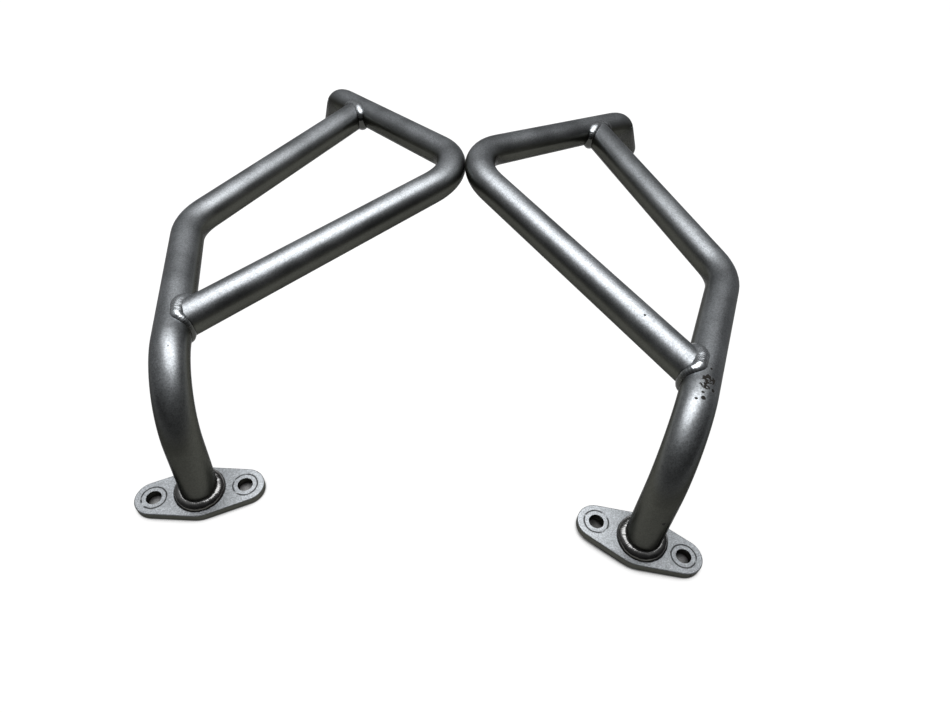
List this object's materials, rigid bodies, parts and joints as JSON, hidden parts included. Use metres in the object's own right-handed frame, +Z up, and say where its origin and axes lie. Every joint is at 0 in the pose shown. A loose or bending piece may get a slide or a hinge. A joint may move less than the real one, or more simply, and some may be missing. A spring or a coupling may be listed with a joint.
{
  "type": "motorcycle crash bars",
  "caption": "Pair of welded tubular steel crash bars, mirror images, each a bent tube frame with a bolted mounting plate at its foot and an open tail.",
  "frame": {"origin": "on the floor under the middle of the pair, the centre of the bounding box's bottom", "axes": "+Z up from the floor the pair lies on, +Y along the bars from the mounting plates towards the tails, +X from the left bar to the right bar"},
  "size_m": [0.448, 0.5293, 0.118],
  "materials": {
    "tube_paint": "metallic silver grey paint with a fine flake, semi-gloss",
    "plate_paint": "metallic silver grey paint over a slightly rough flat bar, semi-gloss",
    "weld_paint": "glossy silver grey paint over rippled weld beads"
  },
  "bodies": {
    "root": {"left_main_tube": "tube_paint", "left_loop_tube": "tube_paint", "left_mounting_plate": "plate_paint", "left_plate_weld": "weld_paint", "left_brace_weld": "weld_paint", "left_top_weld": "weld_paint", "right_main_tube": "tube_paint", "right_loop_tube": "tube_paint", "right_mounting_plate": "plate_paint", "right_plate_weld": "weld_paint", "right_brace_weld": "weld_paint", "right_top_weld": "weld_paint"}
  },
  "joints": []
}
